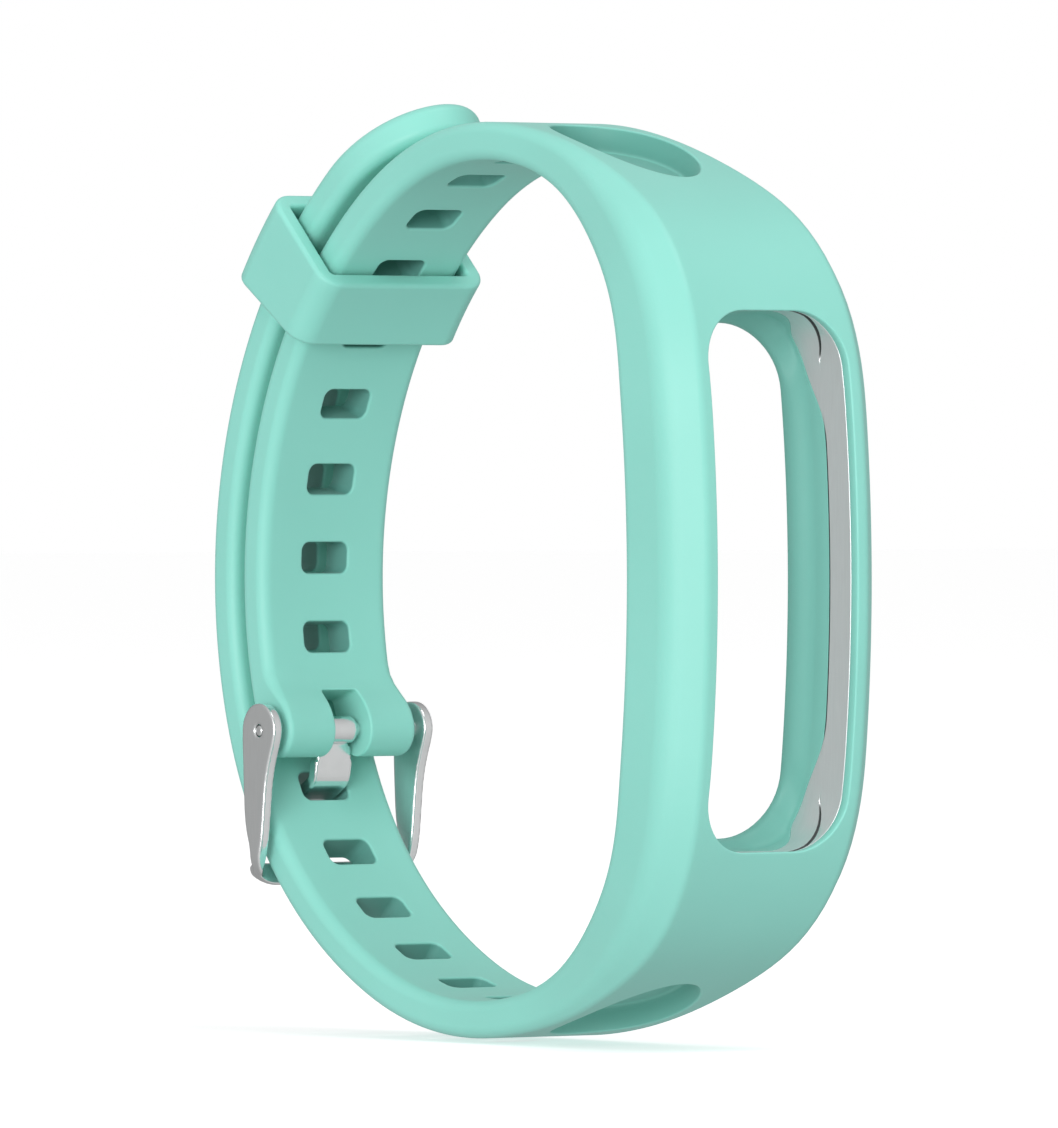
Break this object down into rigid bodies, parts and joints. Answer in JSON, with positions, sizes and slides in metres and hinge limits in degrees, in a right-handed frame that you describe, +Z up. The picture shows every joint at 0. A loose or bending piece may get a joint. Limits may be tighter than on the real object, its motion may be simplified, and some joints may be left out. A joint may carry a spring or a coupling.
{
  "type": "fitness tracker wrist band",
  "caption": "Silicone wrist band with an open capsule holder at the front, and a pin buckle and sliding keeper at the back.",
  "frame": {"origin": "middle of the wrist opening, on the wrist's axis and on the band's middle plane", "axes": "+X along the wrist, -Y towards the holder's front, +Z up towards the buckle strap's side of the loop"},
  "size_m": [0.0204, 0.0678, 0.0746],
  "materials": {
    "silicone": "smooth matte",
    "satin_metal": "satin",
    "bright_metal": "satin faces with polished edges"
  },
  "bodies": {
    "band": {"band": "silicone", "capsule_frame": "satin_metal", "spring_bar_tube": "bright_metal", "spring_bar_spring": "bright_metal"},
    "tail_end": {"strap_tail": "silicone"},
    "keeper": {"keeper_loop": "silicone"},
    "buckle": {"buckle_frame": "bright_metal"},
    "tongue": {"buckle_tongue": "bright_metal"},
    "tip_left": {"spring_bar_tip_left": "bright_metal"},
    "tip_right": {"spring_bar_tip_right": "bright_metal"}
  },
  "joints": [
    {"name": "keeper_slide", "type": "hinge", "parent": "band", "child": "keeper", "pos_m": [0, -0.00877, 0], "axis": [1, 0, 0], "range_deg": [-38, 1]},
    {"name": "tail_flex", "type": "hinge", "parent": "band", "child": "tail_end", "pos_m": [0, 0.02026, 0.03059], "axis": [-1, 0, 0], "range_deg": [0, 30], "stiffness_Nm_per_rad": 0.002},
    {"name": "buckle_swing", "type": "hinge", "parent": "band", "child": "buckle", "pos_m": [0, 0.0245, -0.01231], "axis": [1, 0, 0], "range_deg": [0, 4]},
    {"name": "tongue_lift", "type": "hinge", "parent": "buckle", "child": "tongue", "pos_m": [0, 0.0245, -0.01231], "axis": [1, 0, 0], "range_deg": [0, 2]},
    {"name": "tip_left_slide", "type": "slide", "parent": "band", "child": "tip_left", "axis": [1, 0, 0], "range_m": [0, 0.0009], "stiffness_N_per_m": 400, "springref_m": -0.001},
    {"name": "tip_right_slide", "type": "slide", "parent": "band", "child": "tip_right", "axis": [-1, 0, 0], "range_m": [0, 0.0009], "stiffness_N_per_m": 400, "springref_m": -0.001}
  ]
}
